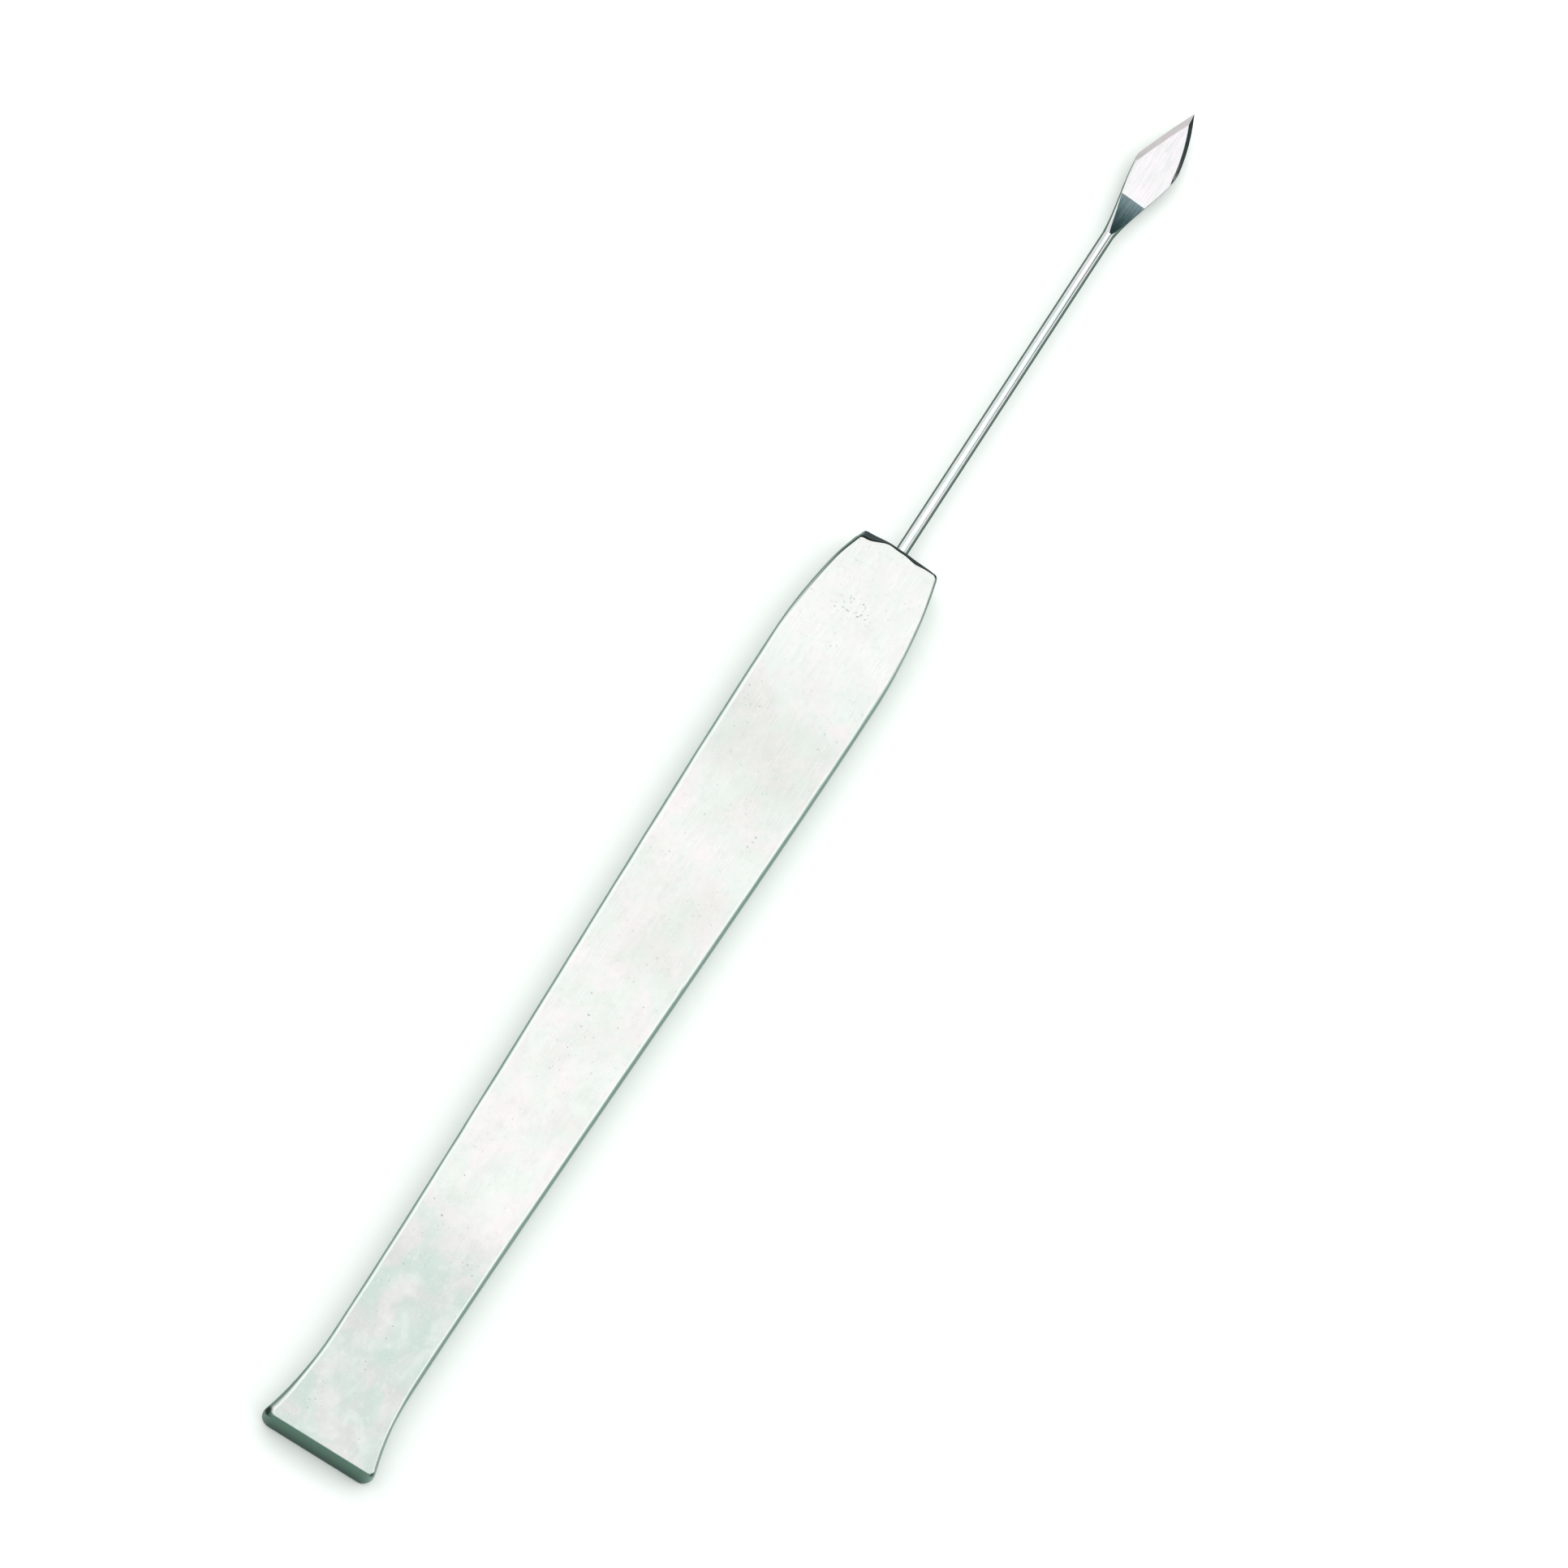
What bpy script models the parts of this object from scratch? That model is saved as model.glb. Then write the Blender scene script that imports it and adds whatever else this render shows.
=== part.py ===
"""A lance-pointed metal spudger: a flat bar handle with a steel needle pressed into its front end.

Units are metres. +Y runs along the tool towards its point and +Z is up. The handle's underside
lies on Z = 0, and the origin is under the middle of the tool's whole length.
"""

import math

import bmesh
import bpy
from mathutils import Matrix, Vector
from mathutils.geometry import interpolate_bezier

MM = 0.001

OVERALL_LENGTH = 127.0 * MM
HANDLE_LENGTH = 81.2 * MM
HANDLE_THICKNESS = 2.5 * MM

# The handle's outline: half widths, and distances measured from its butt end.
BUTT_HALF_WIDTH = 4.42 * MM
WAIST_HALF_WIDTH = 3.28 * MM
WAIST_FROM_BUTT = 7.2 * MM
WIDEST_HALF_WIDTH = 4.50 * MM
WIDEST_FROM_BUTT = 70.3 * MM
FRONT_HALF_WIDTH = 3.20 * MM
FRONT_CROWN = 0.16 * MM
TAPER_HANDLE = 16.0 * MM

# Rounding of the handle's corners in plan, and of its long edges.
BUTT_CORNER_RADIUS = 0.60 * MM
FRONT_CORNER_RADIUS = 0.50 * MM
EDGE_RADIUS = 0.22 * MM

# The needle: a round shank that swells into a flat blade with a lance point.
SHANK_RADIUS = 0.46 * MM
TANG_LENGTH = 14.0 * MM
TANG_CHAMFER = 0.15 * MM
BORE_CLEARANCE = 0.02 * MM
BORE_END_GAP = 0.5 * MM
BLADE_LENGTH = 13.2 * MM
POINT_LENGTH = 5.7 * MM
BLADE_HALF_WIDTH = 1.70 * MM
BLADE_OFFSET = 0.25 * MM
BLADE_BLANK_HALF_THICKNESS = 0.38 * MM
BLANK_SQUARENESS = 2.5
FLATTENING_RATE = 1.6

# The blade's ground faces: a ramp behind two flats, all turned a little about the needle's axis.
FLAT_HALF_THICKNESS = 0.17 * MM
RAMP_LENGTH = 3.7 * MM
RAMP_HOLLOW = 0.30
GRIND_ROLL = math.radians(6.0)
ROOT_ROLL = math.radians(14.0)

# The point's cutting edges and its ridge, each as (slope at the tip, easing per metre): it curves
# as far as EDGE_STRAIGHT_FROM behind the tip and runs straight from there.
TIP_OFFSET = 0.45 * MM
RIGHT_EDGE = (0.43, 28.5)
LEFT_EDGE = (-0.37, -6.5)
RIDGE_LINE = (0.09, 12.0)
RIDGE_RISE = 0.14
EDGE_STRAIGHT_FROM = 6.0 * MM
ENVELOPE_LENGTH = 70.0 * MM

OUTLINE_STEPS = 8
CORNER_SEGMENTS = 4
EDGE_SEGMENTS = 3
ROUND_SIDES = 48
BLADE_STATIONS = 28
RAMP_STEPS = 20
POINT_STEPS = 6
SHARP_ANGLE = math.radians(30.0)
BEVELLED_ANGLE = math.radians(60.0)

# How far a cutter, or the blank that it cuts, runs on past the surface that it leaves.
OVERSHOOT = 1.0 * MM

BUTT_Y = -OVERALL_LENGTH / 2
FRONT_Y = BUTT_Y + HANDLE_LENGTH
AXIS_Z = HANDLE_THICKNESS / 2
NEEDLE_REACH = OVERALL_LENGTH - HANDLE_LENGTH
ROOT_REACH = NEEDLE_REACH - BLADE_LENGTH
SHOULDER_REACH = NEEDLE_REACH - POINT_LENGTH


def clear_scene():
    for obj in list(bpy.data.objects):
        bpy.data.objects.remove(obj, do_unlink=True)


def metal(name, colour, roughness):
    """A Principled metal of one colour."""
    material = bpy.data.materials.new(name)
    material.use_nodes = True
    shader = material.node_tree.nodes["Principled BSDF"]
    shader.inputs["Base Color"].default_value = (*colour, 1.0)
    shader.inputs["Metallic"].default_value = 1.0
    shader.inputs["Roughness"].default_value = roughness
    return material


def add_object(name, bm, material=None):
    """Links the mesh as an object, with its faces pointing out."""
    bmesh.ops.recalc_face_normals(bm, faces=bm.faces)
    mesh = bpy.data.meshes.new(name)
    bm.to_mesh(mesh)
    bm.free()
    if material:
        mesh.materials.append(material)
    obj = bpy.data.objects.new(name, mesh)
    bpy.context.scene.collection.objects.link(obj)
    return obj


def make_cutter(obj):
    obj.hide_render = True
    obj.display_type = "WIRE"


def cut(obj, cutter, operation):
    boolean = obj.modifiers.new(cutter.name, "BOOLEAN")
    boolean.operation = operation
    boolean.object = cutter
    boolean.solver = "EXACT"
    make_cutter(cutter)


def arc_rise(distance, reach, rise):
    """How far a circle has left its tangent at `distance`, if it leaves by `rise` at `reach`."""
    radius = (reach * reach + rise * rise) / (2.0 * rise)
    return radius - math.sqrt(radius * radius - distance * distance)


def fractions(steps):
    return [step / steps for step in range(1, steps + 1)]


def right_side():
    """The handle's right-hand outline from its butt corner to its front corner, as (x, y)."""
    points = []
    flare = BUTT_HALF_WIDTH - WAIST_HALF_WIDTH
    for part in [0.0] + fractions(OUTLINE_STEPS):
        distance = WAIST_FROM_BUTT * (1.0 - part)
        x = WAIST_HALF_WIDTH + arc_rise(distance, WAIST_FROM_BUTT, flare)
        points.append((x, BUTT_Y + WAIST_FROM_BUTT * part))

    waist = Vector((WAIST_HALF_WIDTH, BUTT_Y + WAIST_FROM_BUTT, 0.0))
    widest = Vector((WIDEST_HALF_WIDTH, BUTT_Y + WIDEST_FROM_BUTT, 0.0))
    reach = Vector((0.0, TAPER_HANDLE, 0.0))
    taper = interpolate_bezier(waist, waist + reach, widest - reach, widest, OUTLINE_STEPS + 1)
    points += [(point.x, point.y) for point in taper[1:]]

    run = HANDLE_LENGTH - FRONT_CROWN - WIDEST_FROM_BUTT
    nose = WIDEST_HALF_WIDTH - FRONT_HALF_WIDTH
    for part in fractions(OUTLINE_STEPS):
        x = WIDEST_HALF_WIDTH - arc_rise(run * part, run, nose)
        points.append((x, widest.y + run * part))
    return points


def front_edge():
    """The bowed front, between its two corners, from right to left."""
    points = []
    for part in fractions(OUTLINE_STEPS)[:-1]:
        x = FRONT_HALF_WIDTH * (1.0 - 2.0 * part)
        points.append((x, FRONT_Y - arc_rise(abs(x), FRONT_HALF_WIDTH, FRONT_CROWN)))
    return points


def round_corners(bm, face_verts, half_width, radius):
    corners = [v for v in face_verts if math.isclose(abs(v.co.x), half_width, abs_tol=1e-7)]
    bmesh.ops.bevel(
        bm,
        geom=corners,
        offset=radius,
        segments=CORNER_SEGMENTS,
        profile=0.5,
        affect="VERTICES",
        clamp_overlap=True,
    )


def handle_bar():
    """The outline raised to the bar's thickness, with its four plan corners rounded."""
    right = right_side()
    left = [(-x, y) for x, y in reversed(right)]
    bm = bmesh.new()
    verts = [bm.verts.new((x, y, 0.0)) for x, y in right + front_edge() + left]
    bm.faces.new(verts)
    butt = [v for v in verts if math.isclose(v.co.y, BUTT_Y, abs_tol=1e-7)]
    front = [verts[len(right) - 1], verts[-len(left)]]
    round_corners(bm, butt, BUTT_HALF_WIDTH, BUTT_CORNER_RADIUS)
    round_corners(bm, front, FRONT_HALF_WIDTH, FRONT_CORNER_RADIUS)
    face = bm.faces[:][0]
    raised = bmesh.ops.extrude_face_region(bm, geom=[face])
    top = [item for item in raised["geom"] if isinstance(item, bmesh.types.BMVert)]
    bmesh.ops.translate(bm, verts=top, vec=(0.0, 0.0, HANDLE_THICKNESS))
    return bm


def ring(bm, y, half_width, half_thickness, power, centre=0.0):
    """A loop of ROUND_SIDES points on a superellipse across the needle."""
    verts = []
    for side in range(ROUND_SIDES):
        angle = 2.0 * math.pi * side / ROUND_SIDES
        across = math.cos(angle)
        up = math.sin(angle)
        x = math.copysign(abs(across) ** (2.0 / power), across) * half_width
        z = math.copysign(abs(up) ** (2.0 / power), up) * half_thickness
        verts.append(bm.verts.new((centre + x, y, z)))
    return verts


def loft(bm, rings):
    """Joins neighbouring rings with quads and closes both ends."""
    for back, front in zip(rings, rings[1:]):
        for side in range(ROUND_SIDES):
            after = (side + 1) % ROUND_SIDES
            bm.faces.new((back[side], back[after], front[after], front[side]))
    bm.faces.new(rings[0])
    bm.faces.new(rings[-1])


def cylinder(radius, start, end):
    """A round rod along Y, with the same sides as the needle."""
    bm = bmesh.new()
    loft(bm, [ring(bm, start, radius, radius, 2.0), ring(bm, end, radius, radius, 2.0)])
    return bm


def needle_blank():
    """The forged needle before grinding: tang, round shank and a flattened blade."""
    bm = bmesh.new()
    tip_radius = SHANK_RADIUS - TANG_CHAMFER
    rings = [
        ring(bm, -TANG_LENGTH, tip_radius, tip_radius, 2.0),
        ring(bm, -TANG_LENGTH + TANG_CHAMFER, SHANK_RADIUS, SHANK_RADIUS, 2.0),
    ]
    spread = SHOULDER_REACH - ROOT_REACH
    for station in range(BLADE_STATIONS + 1):
        part = station / BLADE_STATIONS
        swell = 0.5 * part + 0.5 * math.sin(part * math.pi / 2.0) ** 2
        flatten = min(1.0, FLATTENING_RATE * part)
        width = SHANK_RADIUS + (BLADE_HALF_WIDTH - SHANK_RADIUS) * swell
        thickness = SHANK_RADIUS + (BLADE_BLANK_HALF_THICKNESS - SHANK_RADIUS) * flatten
        power = 2.0 + BLANK_SQUARENESS * part
        y = ROOT_REACH + spread * part
        rings.append(ring(bm, y, width, thickness, power, BLADE_OFFSET * swell))
    end = (BLADE_HALF_WIDTH, BLADE_BLANK_HALF_THICKNESS, 2.0 + BLANK_SQUARENESS, BLADE_OFFSET)
    rings.append(ring(bm, NEEDLE_REACH + OVERSHOOT, *end))
    loft(bm, rings)
    return bm


def ground_stations():
    """The upper ground face along the needle, as (y, height on the axis, roll)."""
    flat_start = ROOT_REACH + RAMP_LENGTH
    stations = [(NEEDLE_REACH + 2.0 * OVERSHOOT, FLAT_HALF_THICKNESS, GRIND_ROLL)]
    stations.append((flat_start, FLAT_HALF_THICKNESS, GRIND_ROLL))
    drop = SHANK_RADIUS - FLAT_HALF_THICKNESS
    for part in fractions(RAMP_STEPS):
        rise = drop * part * (1.0 - RAMP_HOLLOW + RAMP_HOLLOW * part)
        roll = GRIND_ROLL + (ROOT_ROLL - GRIND_ROLL) * part
        stations.append((flat_start - RAMP_LENGTH * part, FLAT_HALF_THICKNESS + rise, roll))
    stations.append((ROOT_REACH - OVERSHOOT, 3.0 * SHANK_RADIUS, ROOT_ROLL))
    return stations


def grinding_wheels():
    """The two spaces that a wheel grinds away above and below the blade."""
    outside = 2.0 * BLADE_HALF_WIDTH
    bm = bmesh.new()
    for side in (1.0, -1.0):
        sections = []
        for y, height, roll in ground_stations():
            fall = outside * math.tan(roll)
            corners = ((-outside, height + fall), (outside, height - fall))
            corners += ((outside, outside), (-outside, outside))
            sections.append([bm.verts.new((side * x, y, side * z)) for x, z in corners])
        for first, second in zip(sections, sections[1:]):
            for corner in range(4):
                after = (corner + 1) % 4
                bm.faces.new((first[corner], first[after], second[after], second[corner]))
        bm.faces.new(sections[0])
        bm.faces.new(sections[-1])
    return bm


def edge_x(edge, distance):
    """Where a cutting edge or the ridge lies this far behind the tip."""
    slope, easing = edge
    curved = min(distance, EDGE_STRAIGHT_FROM)
    x = slope * curved - easing * curved * curved
    return TIP_OFFSET + x + (slope - 2.0 * easing * curved) * (distance - curved)


def point_envelope():
    """A slender four-sided point whose faces are the blade's bevels and whose apex is its tip."""
    bm = bmesh.new()
    apex = bm.verts.new((TIP_OFFSET, NEEDLE_REACH, 0.0))
    distances = [EDGE_STRAIGHT_FROM * part for part in fractions(POINT_STEPS)]
    last = None
    for distance in distances + [ENVELOPE_LENGTH]:
        height = RIDGE_RISE * distance
        right = edge_x(RIGHT_EDGE, distance)
        left = edge_x(LEFT_EDGE, distance)
        ridge = edge_x(RIDGE_LINE, distance)
        corners = ((right, 0.0), (ridge, height), (left, 0.0), (ridge, -height))
        y = NEEDLE_REACH - distance
        section = [bm.verts.new((x, y, z)) for x, z in corners]
        for corner in range(4):
            after = (corner + 1) % 4
            if last:
                bm.faces.new((last[corner], last[after], section[after], section[corner]))
            else:
                bm.faces.new((apex, section[after], section[corner]))
        last = section
    bm.faces.new(last)
    bmesh.ops.rotate(bm, verts=bm.verts, matrix=Matrix.Rotation(GRIND_ROLL, 3, "Y"))
    return bm


def build_handle():
    handle = add_object("handle", handle_bar(), metal("handle_metal", (0.82, 0.83, 0.82), 0.34))
    edges = handle.modifiers.new("rounded_edges", "BEVEL")
    edges.width = EDGE_RADIUS
    edges.segments = EDGE_SEGMENTS
    edges.limit_method = "ANGLE"
    edges.angle_limit = BEVELLED_ANGLE
    edges.use_clamp_overlap = True
    edges.harden_normals = True
    depth = TANG_LENGTH + BORE_END_GAP
    bore = add_object("tang_bore", cylinder(SHANK_RADIUS + BORE_CLEARANCE, -depth, OVERSHOOT))
    place_on_axis(bore)
    cut(handle, bore, "DIFFERENCE")
    smooth(handle)
    return handle


def build_needle():
    needle = add_object("needle", needle_blank(), metal("needle_steel", (0.72, 0.74, 0.73), 0.18))
    place_on_axis(needle)
    for name, bm, operation in (
        ("grinding_wheels", grinding_wheels(), "DIFFERENCE"),
        ("point_envelope", point_envelope(), "INTERSECT"),
    ):
        cutter = add_object(name, bm)
        cutter.parent = needle
        cut(needle, cutter, operation)
    smooth(needle)
    return needle


def place_on_axis(obj):
    """Puts an object made about Y on the needle's axis, its Y = 0 at the handle's front."""
    obj.location = (0.0, FRONT_Y, AXIS_Z)


def smooth(obj):
    obj.data.shade_smooth()
    obj.data.set_sharp_from_angle(angle=SHARP_ANGLE)


def main():
    clear_scene()
    build_handle()
    build_needle()


main()
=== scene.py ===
"""Looks of the lance-pointed metal spudger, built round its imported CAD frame.

The row frame is in metres: +Y runs from the butt to the point and +Z is up from the bench.
Both CAD nodes are replaced by finer meshes of the same size, with worked metal surfaces.
"""

import math

import bmesh
import bpy
import numpy as np
from mathutils import Matrix, Vector, noise
from mathutils.geometry import interpolate_bezier


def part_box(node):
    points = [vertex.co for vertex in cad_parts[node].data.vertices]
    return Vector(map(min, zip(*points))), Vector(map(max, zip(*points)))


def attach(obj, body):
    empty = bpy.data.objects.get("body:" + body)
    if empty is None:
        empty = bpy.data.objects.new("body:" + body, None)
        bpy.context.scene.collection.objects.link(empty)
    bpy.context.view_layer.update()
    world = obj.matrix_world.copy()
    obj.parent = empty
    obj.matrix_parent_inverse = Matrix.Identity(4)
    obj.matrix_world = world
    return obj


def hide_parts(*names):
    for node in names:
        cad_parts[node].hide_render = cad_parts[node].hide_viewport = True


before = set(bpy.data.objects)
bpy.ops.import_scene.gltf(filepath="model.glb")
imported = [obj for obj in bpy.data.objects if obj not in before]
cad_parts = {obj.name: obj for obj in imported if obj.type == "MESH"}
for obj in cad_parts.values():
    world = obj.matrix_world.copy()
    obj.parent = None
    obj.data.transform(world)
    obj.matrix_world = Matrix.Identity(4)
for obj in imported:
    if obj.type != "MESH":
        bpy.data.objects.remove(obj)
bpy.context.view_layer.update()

MM = 0.001

HANDLE_LOW, HANDLE_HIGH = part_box("handle")
NEEDLE_LOW, NEEDLE_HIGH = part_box("needle")
BUTT_Y = HANDLE_LOW.y
FRONT_Y = HANDLE_HIGH.y
TIP_Y = NEEDLE_HIGH.y
THICKNESS = HANDLE_HIGH.z
HANDLE_LENGTH = FRONT_Y - BUTT_Y
AXIS_Z = THICKNESS / 2.0

# The handle's outline, as in the CAD: half widths, and distances from its butt end. Only the
# front's slant, FRONT_SKEW, is not in the CAD.
BUTT_HALF_WIDTH = 4.42 * MM
WAIST_HALF_WIDTH = 3.28 * MM
WAIST_FROM_BUTT = 7.2 * MM
WIDEST_HALF_WIDTH = HANDLE_HIGH.x
WIDEST_FROM_BUTT = 70.3 * MM
FRONT_HALF_WIDTH = 3.20 * MM
FRONT_CROWN = 0.16 * MM
FRONT_SKEW = 0.045
TAPER_HANDLE = 16.0 * MM

# Plan corner radii as (right, left), of the outline and of the flat top face inside it.
BUTT_CORNERS = (0.55 * MM, 0.34 * MM)
FRONT_CORNERS = (0.40 * MM, 0.50 * MM)
TOP_BUTT_CORNERS = (0.25 * MM, 0.40 * MM)
LOW_CORNERS = (0.30 * MM, 0.30 * MM)
TOP_FRONT_CORNERS = (0.28 * MM, 0.30 * MM)

# The rounded and dressed edges of the handle.
EDGE_RADIUS = 0.22 * MM
EDGE_WANDER = 0.16
WANDER_SCALE = 420.0
LEFT_EDGE_WIDTH = 0.30 * MM
RIGHT_BUTT_INSET = 0.26 * MM
LEFT_BUTT_INSET = 0.60 * MM
LOW_BUTT_INSET = 0.70 * MM
BUTT_BULGE = 0.07 * MM
BUTT_ROUNDING = 1.1 * MM
BUTT_WORKED_LENGTH = 5.5 * MM
NICK_FROM_BUTT = 42.1 * MM
NICK_HALF_LENGTH = 0.5 * MM
NICK_DEPTH = 0.10 * MM
FACE_SAG = 0.010 * MM

# The steep facet on the left side near the front: how far behind the front it begins and is
# complete, then its inset and its drop.
FACET_START = 3.2 * MM
FACET_FULL = 0.5 * MM
FACET_INSET = 0.42 * MM
FACET_DROP = 0.70 * MM

# The hand-ground front bevel: its least width, what it gains towards the left end, its two
# swellings as (width, middle x, half length), and what it loses towards the right end.
BEVEL_SLOPE = math.tan(math.radians(20.0))
BEVEL_WIDTH = 0.21 * MM
BEVEL_LEFT_GAIN = 0.57 * MM
BEVEL_LEFT_RANGE = (-2.50 * MM, -0.80 * MM)
BEVEL_MIDDLE_SWELL = (0.06 * MM, 0.00, 0.90 * MM)
BEVEL_RIGHT_SWELL = (0.16 * MM, 1.30 * MM, 1.10 * MM)
BEVEL_RIGHT_LOSS = 0.05 * MM
BEVEL_RIGHT_RANGE = (2.30 * MM, 3.00 * MM)

# How sharply the top edge turns over: 2 is a quarter of an ellipse, and 1 is a flat bevel.
ROUND_POWER = 2.0
FACET_POWER = 1.5
BEVEL_POWER = 1.06

# The dark border of painted shade along the left edge: how far behind the front it begins and is
# complete.
BORDER_START = 11.0 * MM
BORDER_FULL = 1.0 * MM

# Painted shade in the butt's top corners, with lengths in mm: middle x, middle distance from the
# butt, reach, and strength.
LEFT_CORNER_SHADE = (-4.10, 0.20, 0.55, 1.8)
RIGHT_CORNER_SHADE = (4.18, 0.16, 0.30, 1.5)

# Worn patches of the top face: middle x and y, then half width and half length, in mm.
PIT_CLUSTER = (-0.5, 11.5, 1.5, 1.0)
BUTT_SMUDGE = (-2.0, -60.5, 0.5, 1.0)
PIT_PAIR = (2.5, -8.5, 0.3, 0.8)

# Darker bands of painted shade across the top face, as (middle y, half length, depth) with the
# lengths in mm, and the stretches over which the face turns greyer to the butt and brighter to the
# front.
SHADE_BANDS = ((-17.5, 4.5, 0.16), (-1.5, 3.4, 0.28))
SHADE_BAND_HALF_WIDTH = 12.0
GREYING = (-41.5 * MM, -49.5 * MM)
BRIGHTENING = (3.0 * MM, 9.0 * MM)

# How finely the handle's mesh is divided.
FLARE_STEPS = 40
TAPER_POINTS = 90
NOSE_STEPS = 50
COLUMNS = 24
CORNER_STEPS = 6
PROFILE_STEPS = 8
CLOSE_STATION = 0.16 * MM
EXTRA_STATION = 0.40 * MM
STATIONS_CLOSE_WITHIN = 3.0 * MM
STATIONS_WIDE_BEYOND = 9.0 * MM

# The needle, as in the CAD. Its own Y starts at the handle's front.
SHANK_RADIUS = 0.46 * MM
BORE_RADIUS = 0.48 * MM
BORE_DEPTH = 14.5 * MM
TANG_LENGTH = FRONT_Y - NEEDLE_LOW.y
TANG_CHAMFER = 0.15 * MM
NEEDLE_REACH = TIP_Y - FRONT_Y
BLADE_LENGTH = 13.2 * MM
POINT_LENGTH = 5.7 * MM
ROOT_REACH = NEEDLE_REACH - BLADE_LENGTH
SHOULDER_REACH = NEEDLE_REACH - POINT_LENGTH
BLADE_HALF_WIDTH = 1.70 * MM
BLADE_OFFSET = 0.25 * MM
BLADE_BLANK_HALF_THICKNESS = 0.38 * MM
BLANK_SQUARENESS = 2.5
FLAT_HALF_THICKNESS = 0.17 * MM
RAMP_LENGTH = 3.7 * MM
RAMP_HOLLOW = 0.30
GRIND_ROLL = math.radians(6.0)
ROOT_ROLL = math.radians(14.0)
TIP_OFFSET = 0.45 * MM

# The point's cutting edges and its ridge, each as (slope at the tip, easing per metre): it curves
# as far as EDGE_STRAIGHT_FROM behind the tip and runs straight from there.
RIGHT_EDGE = (0.43, 28.5)
LEFT_EDGE = (-0.37, -6.5)
RIDGE_LINE = (0.09, 12.0)
RIDGE_RISE = 0.14
EDGE_STRAIGHT_FROM = 6.0 * MM
ENVELOPE_LENGTH = 70.0 * MM

# The envelope's first section lies this far behind its apex, and the weld closes it to a point.
ENVELOPE_START = 0.0002 * MM

# How far a cutter, or the blank that it cuts, runs on past the surface that it leaves.
OVERSHOOT = 1.0 * MM
FLATTENING_RATE = 1.6
NEEDLE_SIDES = 96
SHANK_STATIONS = 30
BLADE_STATIONS = 60
RAMP_STEPS = 48
POINT_STEPS = 24

# Points closer together than this are one point: far below any edge that is meant to be there.
WELD_DISTANCE = 0.0005 * MM


# ---------------------------------------------------------------- mesh helpers


def link(name, bm, material=None):
    mesh = bpy.data.meshes.new(name)
    bm.to_mesh(mesh)
    bm.free()
    obj = bpy.data.objects.new(name, mesh)
    bpy.context.scene.collection.objects.link(obj)
    if material:
        mesh.materials.append(material)
    return obj


def bake(obj):
    """Replaces an object's mesh with the result of its modifiers."""
    graph = bpy.context.evaluated_depsgraph_get()
    done = bpy.data.meshes.new_from_object(obj.evaluated_get(graph))
    obj.modifiers.clear()
    obj.data = done


def cut(obj, cutter, operation):
    boolean = obj.modifiers.new(cutter.name, "BOOLEAN")
    boolean.operation = operation
    boolean.object = cutter
    boolean.solver = "EXACT"
    bake(obj)
    bpy.data.objects.remove(cutter)


def weld(obj):
    """Closes up the slivers without area that cuts leave where their faces cross."""
    bm = bmesh.new()
    bm.from_mesh(obj.data)
    bmesh.ops.remove_doubles(bm, verts=bm.verts, dist=WELD_DISTANCE)
    bmesh.ops.dissolve_degenerate(bm, dist=WELD_DISTANCE, edges=bm.edges)
    bm.to_mesh(obj.data)
    bm.free()


def arc_rise(distance, reach, rise):
    """How far a circle has left its tangent at `distance`, if it leaves by `rise` at `reach`."""
    radius = (reach * reach + rise * rise) / (2.0 * rise)
    return radius - math.sqrt(radius * radius - distance * distance)


def smoothstep(low, high, value):
    part = min(1.0, max(0.0, (value - low) / (high - low)))
    return part * part * (3.0 - 2.0 * part)


def bump(value, centre, reach):
    """A smooth hump: 1 at the centre and 0 beyond `reach` on both sides."""
    return 1.0 - smoothstep(0.0, reach, abs(value - centre))


# --------------------------------------------------------------- handle outline


def side_curve():
    """The outline's half width at close distances from the butt."""
    points = []
    flare = BUTT_HALF_WIDTH - WAIST_HALF_WIDTH
    for step in range(FLARE_STEPS + 1):
        y = WAIST_FROM_BUTT * step / FLARE_STEPS
        rise = arc_rise(WAIST_FROM_BUTT - y, WAIST_FROM_BUTT, flare)
        points.append((y, WAIST_HALF_WIDTH + rise))
    waist = Vector((WAIST_HALF_WIDTH, WAIST_FROM_BUTT, 0.0))
    widest = Vector((WIDEST_HALF_WIDTH, WIDEST_FROM_BUTT, 0.0))
    reach = Vector((0.0, TAPER_HANDLE, 0.0))
    taper = interpolate_bezier(waist, waist + reach, widest - reach, widest, TAPER_POINTS)
    for point in taper[1:]:
        points.append((point.y, point.x))
    run = HANDLE_LENGTH - FRONT_CROWN - WIDEST_FROM_BUTT
    nose = WIDEST_HALF_WIDTH - FRONT_HALF_WIDTH
    for step in range(1, NOSE_STEPS + 1):
        distance = run * step / NOSE_STEPS
        rise = arc_rise(distance, run, nose)
        points.append((WIDEST_FROM_BUTT + distance, WIDEST_HALF_WIDTH - rise))
    return np.array(points)


SIDE = side_curve()


def half_width(y):
    return float(np.interp(y, SIDE[:, 0], SIDE[:, 1]))


def wander(x, y, seed):
    """A slow drift between -1 and 1, as a hand-dressed edge has."""
    return noise.noise(Vector((x * WANDER_SCALE, y * WANDER_SCALE, seed)))


def near_butt(y):
    return 1.0 - smoothstep(0.0, BUTT_WORKED_LENGTH, y)


def left_facet(y, sign):
    """How much of the steep facet that runs down the left side from the front is there."""
    if sign > 0.0:
        return 0.0
    return smoothstep(HANDLE_LENGTH - FACET_START, HANDLE_LENGTH - FACET_FULL, y)


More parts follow.
